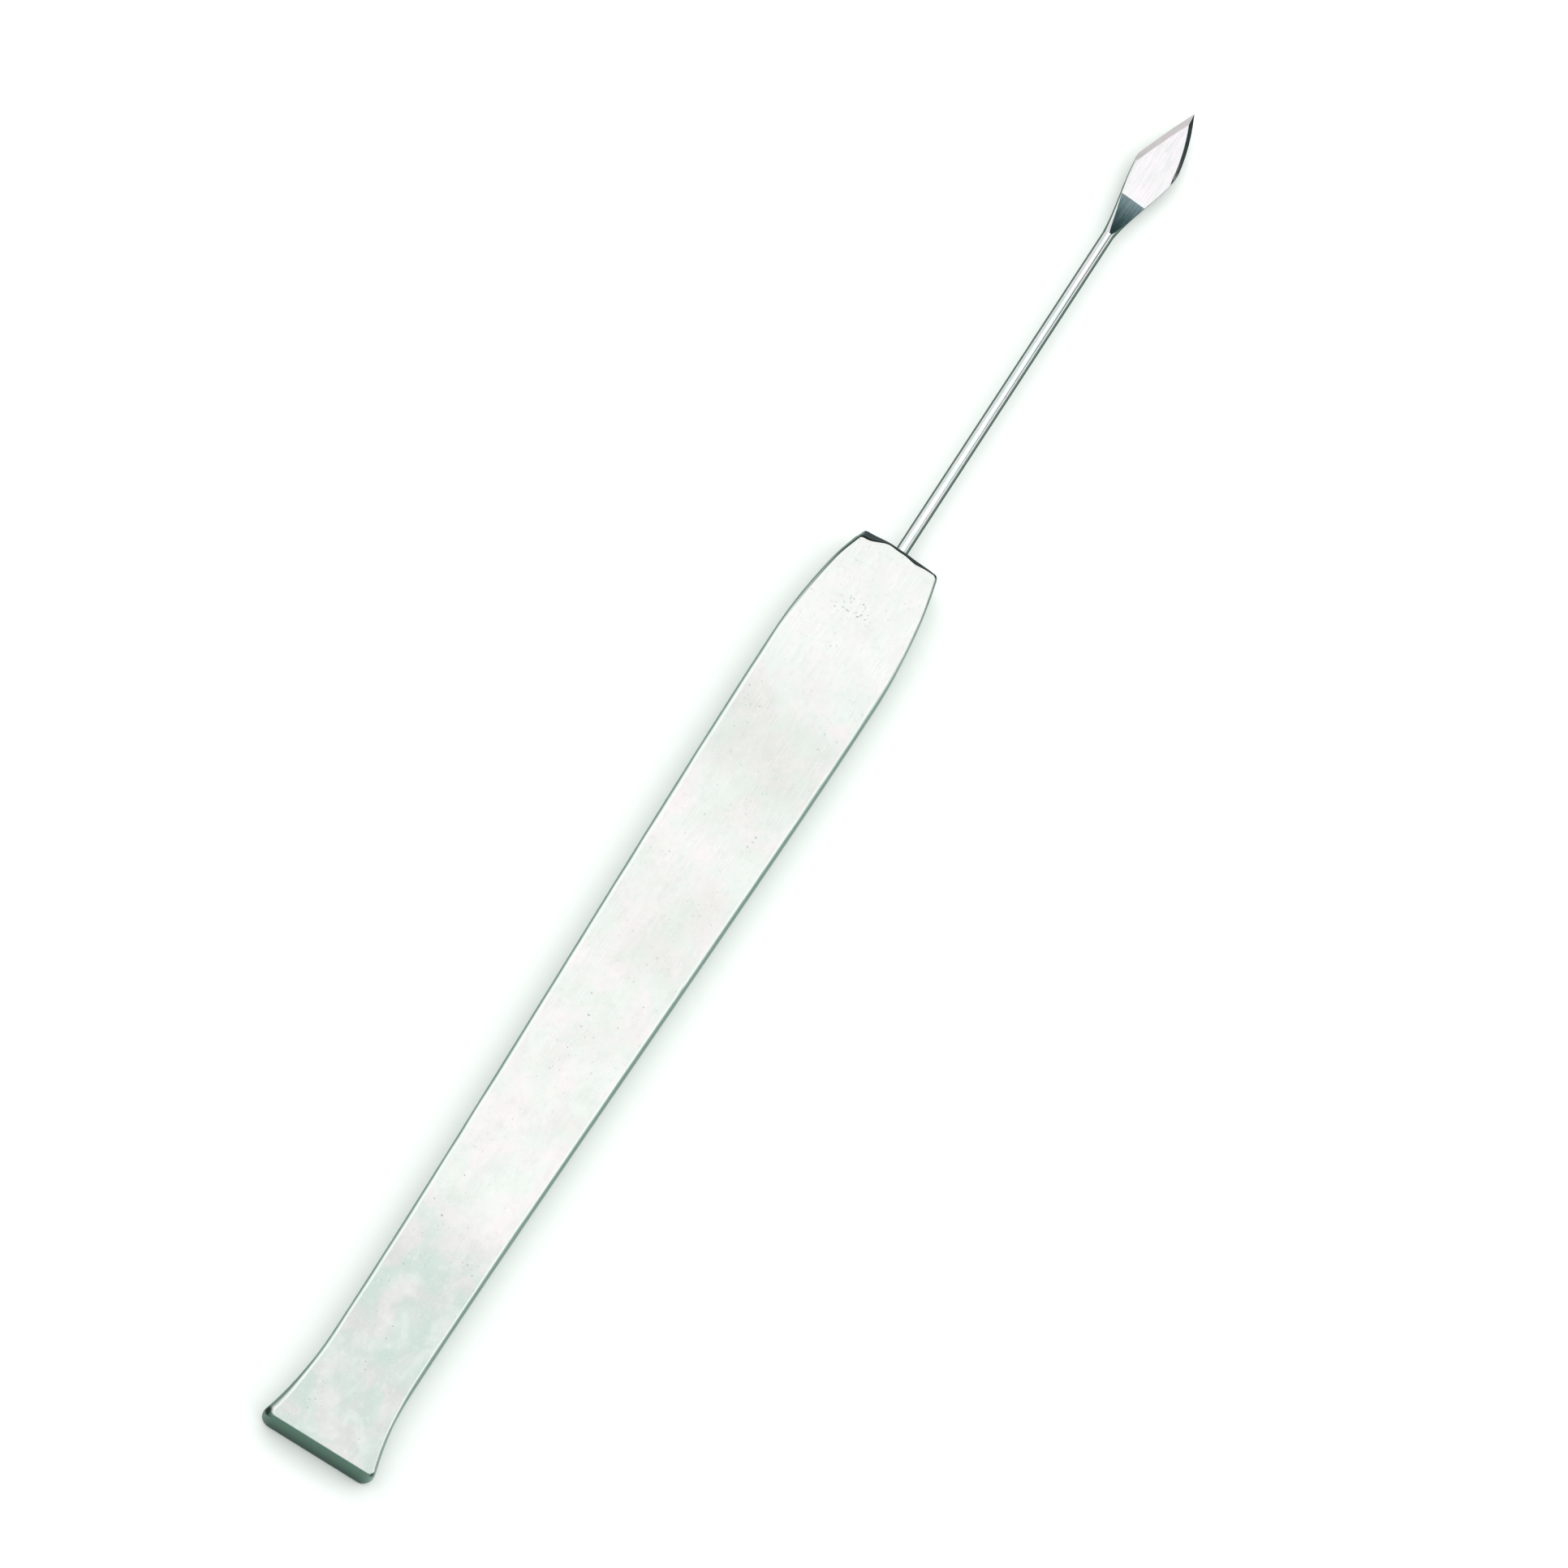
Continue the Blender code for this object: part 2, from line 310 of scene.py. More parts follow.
def top_side_inset(y, sign):
    inset = EDGE_RADIUS if sign > 0.0 else LEFT_EDGE_WIDTH
    inset *= 1.0 + EDGE_WANDER * wander(sign, y, 4.7)
    corner = RIGHT_BUTT_INSET if sign > 0.0 else LEFT_BUTT_INSET
    inset += (corner - inset) * near_butt(y)
    inset += (FACET_INSET - inset) * left_facet(y, sign)
    nick = bump(y, NICK_FROM_BUTT, NICK_HALF_LENGTH) if sign > 0.0 else 0.0
    return inset + NICK_DEPTH * nick


def bevel_width(x):
    """How far the hand-ground front bevel reaches back over the top face."""
    width = BEVEL_WIDTH
    width += BEVEL_LEFT_GAIN * (1.0 - smoothstep(*BEVEL_LEFT_RANGE, x))
    for gain, middle, reach in (BEVEL_MIDDLE_SWELL, BEVEL_RIGHT_SWELL):
        width += gain * bump(x, middle, reach)
    return width - BEVEL_RIGHT_LOSS * smoothstep(*BEVEL_RIGHT_RANGE, x)


def low_side_inset(y, _):
    return EDGE_RADIUS + (LOW_BUTT_INSET - EDGE_RADIUS) * near_butt(y)


def no_inset(*_):
    return 0.0


def station_fractions():
    """Even stations along the sides, closer together near the two worked ends."""
    places = [0.0]
    while places[-1] < HANDLE_LENGTH:
        near_end = min(places[-1], HANDLE_LENGTH - places[-1])
        away = smoothstep(STATIONS_CLOSE_WITHIN, STATIONS_WIDE_BEYOND, near_end)
        places.append(places[-1] + CLOSE_STATION + EXTRA_STATION * away)
    return [place / places[-1] for place in places]


def fillet(corner, coming, going, radius):
    """Points of an arc that rounds a convex corner of a path that turns left."""
    turn = coming.angle(going)
    start = corner - coming * radius * math.tan(turn / 2.0)
    centre = start + Vector((-coming.y, coming.x)) * radius
    spoke = start - centre
    steps = 2 * CORNER_STEPS
    return [centre + Matrix.Rotation(turn * step / steps, 2) @ spoke for step in range(steps + 1)]


class Loop:
    """A closed anticlockwise loop round the handle in plan, inset from its outline.

    Every loop has the same number of points, so two of them can be joined point to point. The
    points run up the right side, across the front, down the left side and along the butt.
    """

    def __init__(self, side_inset, front_inset, butt_inset, butt_radii, front_radii):
        self.side_inset = side_inset
        self.front_inset = front_inset
        self.butt_inset = butt_inset
        butt_r, side_r, front_r = self.half(1.0, butt_radii[0], front_radii[0])
        butt_l, side_l, front_l = self.half(-1.0, butt_radii[1], front_radii[1])
        half = CORNER_STEPS
        right = butt_r[half:] + side_r + front_r[: half + 1]
        left = flipped(butt_l[half:] + side_l + front_l[: half + 1])
        front = front_r[half + 1 :] + self.across(front_r[-1].x, -front_l[-1].x, self.front_y)
        front += flipped(front_l[half + 1 :])
        butt = flipped(butt_l[:half]) + self.across(-butt_l[0].x, butt_r[0].x, self.butt_y)
        butt += butt_r[:half]
        self.right = len(right)
        self.front = len(front)
        self.points = right + front + left + butt

    def side_x(self, y, sign):
        return half_width(y) - self.side_inset(y, sign)

    def front_y(self, x):
        """The front is slightly bowed and ground slightly out of square."""
        bow = FRONT_CROWN * (x / FRONT_HALF_WIDTH) ** 2
        return HANDLE_LENGTH - bow - FRONT_SKEW * x - self.front_inset(x)

    def butt_y(self, x):
        return self.butt_inset

    def half(self, sign, butt_radius, front_radius):
        """One side as if it were the right one: butt corner, side and front corner."""
        low = 0.0
        high = HANDLE_LENGTH
        for _ in range(12):
            low = self.butt_y(sign * self.side_x(low, sign))
            high = self.front_y(sign * self.side_x(high, sign))
        tiny = 0.05 * MM
        butt_corner = Vector((self.side_x(low, sign), low))
        front_corner = Vector((self.side_x(high, sign), high))
        after_butt = Vector((self.side_x(low + tiny, sign), low + tiny)) - butt_corner
        before_front = front_corner - Vector((self.side_x(high - tiny, sign), high - tiny))
        butt_run = self.butt_y(sign * butt_corner.x) - self.butt_y(sign * (butt_corner.x - tiny))
        front_x = front_corner.x - tiny
        front_run = self.front_y(sign * front_x) - high
        coming = Vector((tiny, butt_run)).normalized()
        going = Vector((-tiny, front_run)).normalized()
        butt = fillet(butt_corner, coming, after_butt.normalized(), butt_radius)
        front = fillet(front_corner, before_front.normalized(), going, front_radius)
        start = butt[-1].y
        span = front[0].y - start
        side = []
        for part in station_fractions()[1:-1]:
            y = start + span * part
            side.append(Vector((self.side_x(y, sign), y)))
        return butt, side, front

    def across(self, start, end, line):
        points = []
        for step in range(1, COLUMNS):
            x = start + (end - start) * step / COLUMNS
            points.append(Vector((x, line(x))))
        return points

    def normal(self, index):
        before = self.points[index - 1]
        after = self.points[(index + 1) % len(self.points)]
        along = (after - before).normalized()
        return Vector((along.y, -along.x))


def flipped(points):
    return [Vector((-point.x, point.y)) for point in reversed(points)]


# ------------------------------------------------------------------ handle mesh


def top_edge(point, inner, normal):
    """(drop, power) of the curve from the side up to the top face, at this point of the rim."""
    sign = 1.0 if point.x > 0.0 else -1.0
    width = (point - inner).length
    drop = EDGE_RADIUS * (1.0 + EDGE_WANDER * wander(sign, point.y, 4.7))
    power = ROUND_POWER
    drop += (BUTT_ROUNDING - drop) * near_butt(point.y)
    facet = left_facet(point.y, sign)
    drop += (FACET_DROP - drop) * facet
    power += (FACET_POWER - power) * facet
    facing_front = smoothstep(0.45, 0.95, normal.y)
    drop += (width * BEVEL_SLOPE - drop) * facing_front
    power += (BEVEL_POWER - power) * facing_front
    return drop, power


def low_edge_drop(point):
    return EDGE_RADIUS + (BUTT_ROUNDING - EDGE_RADIUS) * near_butt(point.y)


def border_shade(point, normal):
    """Where painted shade darkens the inner border of the worked edges."""
    front = smoothstep(0.15, 0.60, normal.y)
    left = smoothstep(HANDLE_LENGTH - BORDER_START, HANDLE_LENGTH - BORDER_FULL, point.y)
    return max(front, left if point.x < 0.0 else 0.0)


def corner_shade(point):
    """Painted shade in the two top corners of the butt: a facet on the left, a spot on the right."""
    total = 0.0
    for x, y, reach, strength in (LEFT_CORNER_SHADE, RIGHT_CORNER_SHADE):
        total += strength * bump((point - Vector((x, y)) * MM).length, 0.0, reach * MM)
    return min(1.0, total)


def face_sag(x, y, seed):
    """How far the hand-dressed face lies below a true plane."""
    return FACE_SAG * (0.5 + 0.5 * noise.noise(Vector((x * 130.0, y * 70.0, seed))))


def handle_mesh():
    """The whole handle as quads: two gridded faces and a rounded rim, closed all round."""
    outer = Loop(no_inset, no_inset, 0.0, BUTT_CORNERS, FRONT_CORNERS)
    top = Loop(top_side_inset, bevel_width, BUTT_BULGE, TOP_BUTT_CORNERS, TOP_FRONT_CORNERS)
    low = Loop(low_side_inset, lambda x: EDGE_RADIUS, 2.0 * BUTT_BULGE, LOW_CORNERS, LOW_CORNERS)
    bm = bmesh.new()
    names = ("rim", "burnish_and_highlight", "butt", "ground", "painted_edge_shade")
    marks = {name: bm.verts.layers.float.new(name) for name in names}
    rows = [[] for _ in range(2 * PROFILE_STEPS + 2)]
    for index, point in enumerate(outer.points):
        normal = outer.normal(index)
        top_point = top.points[index]
        low_point = low.points[index]
        drop, power = top_edge(point, top_point, normal)
        low_drop = low_edge_drop(point)
        profile = []
        for step in range(PROFILE_STEPS + 1):
            angle = math.pi / 2.0 * (1.0 - step / PROFILE_STEPS)
            place = point.lerp(low_point, 1.0 - math.cos(angle))
            profile.append((place, low_drop * (1.0 - math.sin(angle)), 1.0))
        for step in range(PROFILE_STEPS + 1):
            angle = math.pi / 2.0 * step / PROFILE_STEPS
            place = point.lerp(top_point, 1.0 - max(0.0, math.cos(angle)) ** (2.0 / power))
            rise = math.sin(angle) ** (2.0 / power)
            profile.append((place, THICKNESS - drop * (1.0 - rise), 1.0 - math.sin(angle)))
        facing_front = smoothstep(0.20, 0.70, normal.y)
        facing_butt = smoothstep(0.45, 0.97, -normal.y)
        worked = max(facing_front, facing_butt)
        for row, (place, z, sideways) in enumerate(profile):
            vert = bm.verts.new((place.x, BUTT_Y + place.y, z))
            on_face = row in (0, len(profile) - 1)
            inner_rows = row in (len(profile) - 2, len(profile) - 3)
            vert[marks["rim"]] = 0.0 if on_face else max(worked, smoothstep(0.04, 0.16, sideways))
            # Where the top face's burnished edge is painted lighter as a highlight too.
            vert[marks["burnish_and_highlight"]] = (1.0 - worked) * (1.0 - smoothstep(0.04, 0.14, sideways))
            vert[marks["butt"]] = 0.0 if on_face else facing_butt
            vert[marks["ground"]] = 0.0 if on_face else facing_front
            border = border_shade(point, normal) if inner_rows else 0.0
            corner = corner_shade(place) if z > 0.80 * THICKNESS and not on_face else 0.0
            vert[marks["painted_edge_shade"]] = max(border, corner)
            rows[row].append(vert)
    for lower, upper in zip(rows, rows[1:]):
        for index in range(len(outer.points)):
            after = (index + 1) % len(outer.points)
            bm.faces.new((lower[index], lower[after], upper[after], upper[index]))
    fill_face(bm, outer, rows[-1], THICKNESS, -1.0)
    fill_face(bm, outer, rows[0], 0.0, 1.0)
    bmesh.ops.recalc_face_normals(bm, faces=bm.faces)
    return bm


def fill_face(bm, loop, ring, z, inward):
    """A grid across the ring, from its right side to its left, with a slight hand-dressed sag."""
    last = loop.right - 1
    columns = loop.front + 1
    left_start = loop.right + loop.front
    right = ring[: loop.right]
    left = [ring[left_start + last - index] for index in range(loop.right)]
    butt = [right[0]] + list(reversed(ring[left_start + loop.right :])) + [left[0]]
    front = [right[-1]] + ring[loop.right : left_start] + [left[-1]]
    grid = [butt]
    for row in range(1, last):
        v = (right[row].co.y - right[0].co.y) / (right[-1].co.y - right[0].co.y)
        line = [right[row]]
        for column in range(1, columns):
            u = column / columns
            sides = right[row].co.lerp(left[row].co, u)
            ends = butt[column].co.lerp(front[column].co, v)
            low = right[0].co.lerp(left[0].co, u)
            high = right[-1].co.lerp(left[-1].co, u)
            place = sides + ends - low.lerp(high, v)
            edge = min(1.0, 4.0 * min(u, 1.0 - u), 12.0 * min(v, 1.0 - v))
            sag = edge * face_sag(place.x, place.y, 2.0 + inward)
            line.append(bm.verts.new((place.x, place.y, z + inward * sag)))
        line.append(left[row])
        grid.append(line)
    grid.append(front)
    for lower, upper in zip(grid, grid[1:]):
        for column in range(columns):
            bm.faces.new((lower[column], lower[column + 1], upper[column + 1], upper[column]))


# ----------------------------------------------------------------- needle mesh


def ring(bm, y, half_width, half_thickness, power, centre=0.0):
    verts = []
    for side in range(NEEDLE_SIDES):
        angle = 2.0 * math.pi * side / NEEDLE_SIDES
        across = math.cos(angle)
        up = math.sin(angle)
        x = math.copysign(abs(across) ** (2.0 / power), across) * half_width
        z = math.copysign(abs(up) ** (2.0 / power), up) * half_thickness
        verts.append(bm.verts.new((centre + x, y, z)))
    return verts


def loft(bm, sections):
    """Joins neighbouring sections with quads, closes both ends and faces it all outwards."""
    count = len(sections[0])
    for back, front in zip(sections, sections[1:]):
        for corner in range(count):
            after = (corner + 1) % count
            bm.faces.new((back[corner], back[after], front[after], front[corner]))
    bm.faces.new(sections[0])
    bm.faces.new(sections[-1])
    bmesh.ops.recalc_face_normals(bm, faces=bm.faces)


def needle_blank():
    """The forged needle before grinding: tang, round shank and a flattened blade."""
    bm = bmesh.new()
    tip_radius = SHANK_RADIUS - TANG_CHAMFER
    rings = [ring(bm, -TANG_LENGTH, tip_radius, tip_radius, 2.0)]
    start = -TANG_LENGTH + TANG_CHAMFER
    for step in range(SHANK_STATIONS):
        y = start + (ROOT_REACH - start) * step / SHANK_STATIONS
        rings.append(ring(bm, y, SHANK_RADIUS, SHANK_RADIUS, 2.0))
    for station in range(BLADE_STATIONS + 1):
        part = station / BLADE_STATIONS
        swell = 0.5 * part + 0.5 * math.sin(part * math.pi / 2.0) ** 2
        flatten = min(1.0, FLATTENING_RATE * part)
        width = SHANK_RADIUS + (BLADE_HALF_WIDTH - SHANK_RADIUS) * swell
        thickness = SHANK_RADIUS + (BLADE_BLANK_HALF_THICKNESS - SHANK_RADIUS) * flatten
        power = 2.0 + BLANK_SQUARENESS * part
        y = ROOT_REACH + (SHOULDER_REACH - ROOT_REACH) * part
        rings.append(ring(bm, y, width, thickness, power, BLADE_OFFSET * swell))
    end = (BLADE_HALF_WIDTH, BLADE_BLANK_HALF_THICKNESS, 2.0 + BLANK_SQUARENESS, BLADE_OFFSET)
    rings.append(ring(bm, NEEDLE_REACH + OVERSHOOT, *end))
    loft(bm, rings)
    return bm


def ground_stations():
    """The upper ground face along the needle, as (y, height on the axis, roll)."""
    flat_start = ROOT_REACH + RAMP_LENGTH
    stations = [(NEEDLE_REACH + 2.0 * OVERSHOOT, FLAT_HALF_THICKNESS, GRIND_ROLL)]
    stations.append((flat_start, FLAT_HALF_THICKNESS, GRIND_ROLL))
    drop = SHANK_RADIUS - FLAT_HALF_THICKNESS
    for step in range(1, RAMP_STEPS + 1):
        part = step / RAMP_STEPS
        rise = drop * part * (1.0 - RAMP_HOLLOW + RAMP_HOLLOW * part)
        roll = GRIND_ROLL + (ROOT_ROLL - GRIND_ROLL) * part
        stations.append((flat_start - RAMP_LENGTH * part, FLAT_HALF_THICKNESS + rise, roll))
    stations.append((ROOT_REACH - OVERSHOOT, 3.0 * SHANK_RADIUS, ROOT_ROLL))
    return stations


def grinding_wheel(side):
    """The space that a wheel grinds away above the blade (side 1) or below it (side -1)."""
    outside = 2.0 * BLADE_HALF_WIDTH
    bm = bmesh.new()
    sections = []
    for y, height, roll in ground_stations():
        fall = outside * math.tan(roll)
        corners = ((-outside, height + fall), (outside, height - fall))
        corners += ((outside, outside), (-outside, outside))
        sections.append([bm.verts.new((side * x, y, side * z)) for x, z in corners])
    loft(bm, sections)
    return bm


def edge_x(edge, distance):
    """Where a cutting edge or the ridge lies this far behind the tip."""
    slope, easing = edge
    curved = min(distance, EDGE_STRAIGHT_FROM)
    x = slope * curved - easing * curved * curved
    return TIP_OFFSET + x + (slope - 2.0 * easing * curved) * (distance - curved)


def point_envelope():
    """A slender four-sided point whose faces are the blade's bevels and whose apex is its tip."""
    bm = bmesh.new()
    distances = [ENVELOPE_START]
    distances += [EDGE_STRAIGHT_FROM * step / POINT_STEPS for step in range(1, POINT_STEPS + 1)]
    distances.append(ENVELOPE_LENGTH)
    sections = []
    for distance in distances:
        height = RIDGE_RISE * distance
        right = edge_x(RIGHT_EDGE, distance)
        left = edge_x(LEFT_EDGE, distance)
        ridge = edge_x(RIDGE_LINE, distance)
        corners = ((right, 0.0), (ridge, height), (left, 0.0), (ridge, -height))
        y = NEEDLE_REACH - distance
        sections.append([bm.verts.new((x, y, z)) for x, z in corners])
    loft(bm, sections)
    bmesh.ops.rotate(bm, verts=bm.verts, matrix=Matrix.Rotation(GRIND_ROLL, 3, "Y"))
    return bm


def wheel_object(name, bm):
    """A cutter whose faces leave the ground finish, material 1, on what they cut."""
    for face in bm.faces:
        face.material_index = 1
    cutter = link(name, bm)
    cutter.data.materials.append(None)
    cutter.data.materials.append(None)
    return cutter


def build_needle(polished, ground):
    needle = link("needle_fine", needle_blank())
    needle.data.materials.append(polished)
    needle.data.materials.append(ground)
    cut(needle, wheel_object("upper_wheel", grinding_wheel(1.0)), "DIFFERENCE")
    cut(needle, wheel_object("lower_wheel", grinding_wheel(-1.0)), "DIFFERENCE")
    cut(needle, wheel_object("envelope", point_envelope()), "INTERSECT")
    weld(needle)
    needle.data.transform(Matrix.Translation((0.0, FRONT_Y, AXIS_Z)))
    finish_shading(needle, 7.0)
    return needle


def build_handle(material):
    handle = link("handle_fine", handle_mesh())
    handle.data.materials.append(material)
    bm = bmesh.new()
    bore = [ring(bm, -BORE_DEPTH, BORE_RADIUS, BORE_RADIUS, 2.0)]
    bore.append(ring(bm, OVERSHOOT, BORE_RADIUS, BORE_RADIUS, 2.0))
    loft(bm, bore)
    bmesh.ops.translate(bm, verts=bm.verts, vec=(0.0, FRONT_Y, AXIS_Z))
    cut(handle, link("bore", bm), "DIFFERENCE")
    finish_shading(handle, 30.0)
    return handle


def finish_shading(obj, angle):
    obj.data.shade_smooth()
    obj.data.set_sharp_from_angle(angle=math.radians(angle))
    weighted = obj.modifiers.new("weighted_normals", "WEIGHTED_NORMAL")
    weighted.keep_sharp = True
    weighted.weight = 80


# ------------------------------------------------------------------- materials


class Nodes:
    """Short calls for building a node tree."""

    def __init__(self, tree):
        self.tree = tree
        self.links = tree.links

    def add(self, kind, **settings):
        node = self.tree.nodes.new(kind)
        for key, value in settings.items():
            setattr(node, key, value)
        return node

    def feed(self, socket, value):
        if isinstance(value, bpy.types.NodeSocket):
            self.links.new(value, socket)
        else:
            socket.default_value = value

    def math(self, operation, first, second=0.0):
        node = self.add("ShaderNodeMath", operation=operation)
        self.feed(node.inputs[0], first)
        self.feed(node.inputs[1], second)
        return node.outputs[0]

    def scale(self, vector, by):
        node = self.add("ShaderNodeMapping")
        self.feed(node.inputs["Vector"], vector)
        node.inputs["Scale"].default_value = by
        return node.outputs[0]

    def noise(self, vector, detail=2.0, roughness=0.5, distortion=0.0):
        node = self.add("ShaderNodeTexNoise")
        self.feed(node.inputs["Vector"], vector)
        node.inputs["Scale"].default_value = 1.0
        node.inputs["Detail"].default_value = detail
        node.inputs["Roughness"].default_value = roughness
        node.inputs["Distortion"].default_value = distortion
        return node.outputs["Fac"]

    def remap(self, value, low, high, to_low=0.0, to_high=1.0):
        node = self.add("ShaderNodeMapRange", interpolation_type="SMOOTHSTEP")
        self.feed(node.inputs["Value"], value)
        node.inputs["From Min"].default_value = low
        node.inputs["From Max"].default_value = high
        node.inputs["To Min"].default_value = to_low
        node.inputs["To Max"].default_value = to_high
        return node.outputs["Result"]

    def mix(self, factor, first, second):
        node = self.add("ShaderNodeMix", data_type="RGBA")
        self.feed(node.inputs["Factor"], factor)
        self.feed(node.inputs["A"], first)
        self.feed(node.inputs["B"], second)
        return node.outputs["Result"]

    def attribute(self, name):
        node = self.add("ShaderNodeAttribute", attribute_name=name)
        return node.outputs["Fac"]

    def bump(self, height, distance, strength=1.0, normal=None):
        node = self.add("ShaderNodeBump")
        self.feed(node.inputs["Height"], height)
        node.inputs["Distance"].default_value = distance
        node.inputs["Strength"].default_value = strength
        if normal:
            self.feed(node.inputs["Normal"], normal)
        return node.outputs["Normal"]


def rgb(red, green, blue):
    return (red, green, blue, 1.0)


def new_material(name):
    material = bpy.data.materials.new(name)
    material.use_nodes = True
    tree = material.node_tree
    shader = tree.nodes["Principled BSDF"]
    shader.inputs["Metallic"].default_value = 1.0
    return material, Nodes(tree), shader


def flecks(n, place, threshold):
    """Small irregular flecks, where a fine noise is above the threshold."""
    fine = n.noise(n.scale(place, (4600.0, 3800.0, 0.0)), 2.0, 0.55, 0.3)
    return n.remap(n.math("SUBTRACT", fine, threshold), 0.0, 0.05)


def spot(n, place, x, y, half_x, half_y, softness=0.35):
    """A soft oval mask on the top face, at a place given in millimetres."""
    moved = n.add("ShaderNodeMapping")
    n.feed(moved.inputs["Vector"], place)
    moved.inputs["Scale"].default_value = (1.0 / (half_x * MM), 1.0 / (half_y * MM), 0.0)
    moved.inputs["Location"].default_value = (-x / half_x, -y / half_y, 0.0)
    length = n.add("ShaderNodeVectorMath", operation="LENGTH")
    n.feed(length.inputs[0], moved.outputs[0])
    return n.remap(length.outputs["Value"], 1.0 + softness, 1.0 - softness)


def worn_patches(n, place):
    """Where the top face's flecks crowd together: near the front, near the butt and mid-way."""
    front = spot(n, place, *PIT_CLUSTER)
    butt = n.math("MULTIPLY", spot(n, place, *BUTT_SMUDGE), 0.8)
    middle = spot(n, place, *PIT_PAIR)
    return n.math("MAXIMUM", n.math("MAXIMUM", front, butt), middle)


def handle_material():
    """Brushed, pitted metal. The vertex attributes say where the edges were worked.

    The left side and the bands across the top face are painted darker than the light leaves them, and
    so are the lines along the worked edges and the butt's top corners. The butt's end is painted
    lighter towards its top, its two ends and its arris, and the top face's burnished edge is painted
    lighter too.
    """
    material, n, shader = new_material("handle_metal_worked")
    coordinates = n.add("ShaderNodeTexCoord")
    place = coordinates.outputs["Object"]
    facing = n.add("ShaderNodeSeparateXYZ")
    n.feed(facing.inputs[0], coordinates.outputs["Normal"])
    split = n.add("ShaderNodeSeparateXYZ")
    n.feed(split.inputs[0], place)
    rim = n.attribute("rim")
    burnish_and_highlight = n.attribute("burnish_and_highlight")
    butt = n.attribute("butt")
    ground = n.attribute("ground")
    painted_edge_shade = n.attribute("painted_edge_shade")

    broad = n.noise(n.scale(place, (170.0, 120.0, 0.0)), 3.0, 0.55, 0.8)
    blotches = n.noise(n.scale(place, (520.0, 380.0, 0.0)), 4.0, 0.60, 0.6)
    tint = n.noise(n.scale(place, (330.0, 300.0, 0.0)), 3.0, 0.55, 0.5)
    speckle = n.noise(n.scale(place, (2400.0, 1900.0, 0.0)), 3.0, 0.6)
    brushing = n.noise(n.scale(place, (9000.0, 420.0, 6000.0)), 3.0, 0.6)
    coarse = n.noise(n.scale(place, (3800.0, 150.0, 2600.0)), 2.0, 0.5)

    face = n.mix(n.remap(tint, 0.36, 0.64), rgb(0.860, 0.875, 0.810), rgb(0.945, 0.865, 0.840))
    shade = n.remap(broad, 0.38, 0.66, 0.0, 0.22)
    shade = n.math("ADD", shade, n.remap(blotches, 0.40, 0.70, 0.0, 0.30))
    # Darker bands of painted shade across the top face.
    for middle, half, depth in SHADE_BANDS:
        band = spot(n, place, 0.0, middle, SHADE_BAND_HALF_WIDTH, half, 0.5)
        shade = n.math("ADD", shade, n.math("MULTIPLY", band, depth))
    face = n.mix(shade, face, rgb(0.66, 0.655, 0.60))
    worn = n.remap(split.outputs["Y"], *GREYING)
    worn = n.math("MULTIPLY", worn, n.remap(blotches, 0.30, 0.62, 0.45, 1.0))
    greyed = n.mix(n.remap(tint, 0.40, 0.60), rgb(0.600, 0.675, 0.605), rgb(0.675, 0.665, 0.630))
    face = n.mix(worn, face, greyed)
    fresh = n.remap(split.outputs["Y"], *BRIGHTENING, 0.0, 0.45)
    face = n.mix(fresh, face, rgb(0.97, 0.945, 0.905))
    face = n.mix(n.remap(speckle, 0.50, 0.72, 0.0, 0.22), face, rgb(0.68, 0.69, 0.64))
    face = n.mix(n.remap(speckle, 0.46, 0.28, 0.0, 0.25), face, rgb(0.92, 0.89, 0.86))
    face = n.mix(n.remap(brushing, 0.55, 0.75, 0.0, 0.12), face, rgb(0.94, 0.92, 0.89))

    patchy = n.remap(broad, 0.45, 0.65, 0.0, 0.035)
    scattered = flecks(n, place, n.math("SUBTRACT", 0.715, patchy))
    crowded = n.math("MULTIPLY", flecks(n, place, 0.63), worn_patches(n, place))
    flawed = n.math("MULTIPLY", n.math("MAXIMUM", scattered, crowded), 0.55)
    face = n.mix(flawed, face, rgb(0.20, 0.26, 0.22))
    # The top face's burnished edge, painted lighter as a highlight too.
    face = n.mix(n.math("MULTIPLY", burnish_and_highlight, 0.85), face, rgb(0.93, 0.94, 0.90))

    side_tint = n.remap(n.noise(n.scale(place, (500.0, 90.0, 900.0)), 3.0), 0.3, 0.7)
    side = n.mix(side_tint, rgb(0.50, 0.64, 0.56), rgb(0.62, 0.72, 0.67))
    leftward = n.remap(facing.outputs["X"], -0.20, -0.60)
    side = n.mix(leftward, side, rgb(0.33, 0.44, 0.38))
    # Painted shade and highlights on the butt's end: darker towards the bench, lighter towards its
    # two ends and along its top arris.
    painted_butt_top_light = n.remap(split.outputs["Z"], 0.2 * MM, 2.3 * MM)
    butt_colour_and_painted_light = n.mix(painted_butt_top_light, rgb(0.17, 0.23, 0.21), rgb(0.27, 0.40, 0.33))
    painted_butt_end_light = n.remap(n.math("ABSOLUTE", split.outputs["X"]), 3.3 * MM, 4.2 * MM)
    butt_colour_and_painted_light = n.mix(n.math("MULTIPLY", painted_butt_end_light, 0.7), butt_colour_and_painted_light, rgb(0.42, 0.50, 0.46))
    painted_arris_highlight = n.remap(split.outputs["Z"], 2.40 * MM, 2.47 * MM)
    butt_colour_and_painted_light = n.mix(n.math("MULTIPLY", painted_arris_highlight, 0.6), butt_colour_and_painted_light, rgb(0.62, 0.76, 0.66))
    side = n.mix(butt, side, butt_colour_and_painted_light)
    side = n.mix(ground, side, rgb(0.42, 0.46, 0.48))
    colour = n.mix(rim, face, side)
